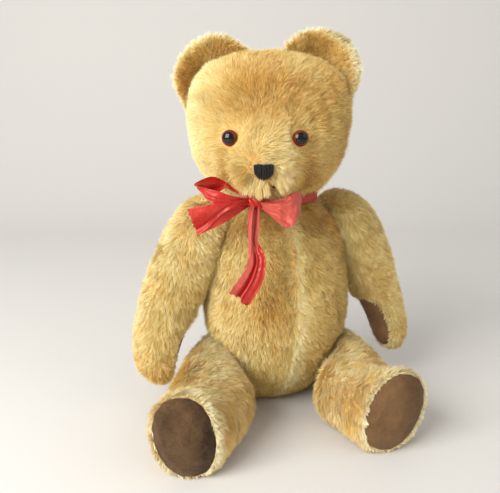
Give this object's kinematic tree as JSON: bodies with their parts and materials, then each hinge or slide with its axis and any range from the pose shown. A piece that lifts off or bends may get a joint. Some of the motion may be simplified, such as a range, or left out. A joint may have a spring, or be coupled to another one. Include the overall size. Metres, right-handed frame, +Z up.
{
  "type": "teddy bear",
  "caption": "Seated plush teddy bear with a round head that turns, swinging disc-jointed arms and legs, velveteen pads and a satin ribbon bow at the neck.",
  "frame": {"origin": "on the flat underside of the torso, below the middle of the torso", "axes": "+Z up, -Y where the torso faces, +X to the bear's left"},
  "size_m": [0.3307, 0.2542, 0.4109],
  "materials": {
    "plush": "worn golden pile",
    "velveteen": "rubbed brown velveteen",
    "satin_ribbon": "soft sheen",
    "black_thread": "waxed thread",
    "eye_plastic": "glossy amber with a black pupil",
    "hardboard": "raw pressed board",
    "steel": "dull",
    "wood_wool": "packed wood wool"
  },
  "bodies": {
    "torso": {"torso_cover": "plush", "torso_stuffing": "wood_wool", "ribbon_bow": "satin_ribbon", "neck_torso_disc": "hardboard", "neck_torso_washer": "steel", "neck_cotter_pin": "steel", "left_shoulder_torso_disc": "hardboard", "left_shoulder_torso_washer": "steel", "left_shoulder_cotter_pin": "steel", "right_shoulder_torso_disc": "hardboard", "right_shoulder_torso_washer": "steel", "right_shoulder_cotter_pin": "steel", "left_hip_torso_disc": "hardboard", "left_hip_torso_washer": "steel", "left_hip_cotter_pin": "steel", "right_hip_torso_disc": "hardboard", "right_hip_torso_washer": "steel", "right_hip_cotter_pin": "steel"},
    "head": {"head_cover": "plush", "head_stuffing": "wood_wool", "left_ear": "plush", "right_ear": "plush", "left_eye": "eye_plastic", "right_eye": "eye_plastic", "left_eye_washer": "steel", "right_eye_washer": "steel", "nose_stitches": "black_thread", "mouth_stitch": "black_thread", "neck_head_disc": "hardboard", "neck_head_washer": "steel"},
    "left_arm": {"left_arm_cover": "plush", "left_arm_stuffing": "wood_wool", "left_paw_pad": "velveteen", "left_shoulder_arm_disc": "hardboard", "left_shoulder_arm_washer": "steel"},
    "right_arm": {"right_arm_cover": "plush", "right_arm_stuffing": "wood_wool", "right_paw_pad": "velveteen", "right_shoulder_arm_disc": "hardboard", "right_shoulder_arm_washer": "steel"},
    "left_leg": {"left_leg_cover": "plush", "left_leg_stuffing": "wood_wool", "left_foot_pad": "velveteen", "left_hip_leg_disc": "hardboard", "left_hip_leg_washer": "steel"},
    "right_leg": {"right_leg_cover": "plush", "right_leg_stuffing": "wood_wool", "right_foot_pad": "velveteen", "right_hip_leg_disc": "hardboard", "right_hip_leg_washer": "steel"}
  },
  "joints": [
    {"name": "neck", "type": "hinge", "parent": "torso", "child": "head", "pos_m": [-0.008, 0, 0.2387], "axis": [0, 0, 1], "continuous": true, "deforming": ["ribbon_bow"]},
    {"name": "left_shoulder", "type": "hinge", "parent": "torso", "child": "left_arm", "pos_m": [0.061, 0.003, 0.204], "axis": [-0.9272, 0, -0.3746], "range_deg": [-115, 115], "deforming": ["ribbon_bow"]},
    {"name": "right_shoulder", "type": "hinge", "parent": "torso", "child": "right_arm", "pos_m": [-0.061, 0.003, 0.204], "axis": [0.9272, 0, -0.3746], "range_deg": [0, 105], "deforming": ["ribbon_bow"]},
    {"name": "left_hip", "type": "hinge", "parent": "torso", "child": "left_leg", "pos_m": [0.048, 0, 0.044], "axis": [0.9945, 0.1045, 0], "range_deg": [0, 95]},
    {"name": "right_hip", "type": "hinge", "parent": "torso", "child": "right_leg", "pos_m": [-0.048, 0, 0.044], "axis": [0.9613, -0.2756, 0], "range_deg": [0, 95]}
  ]
}
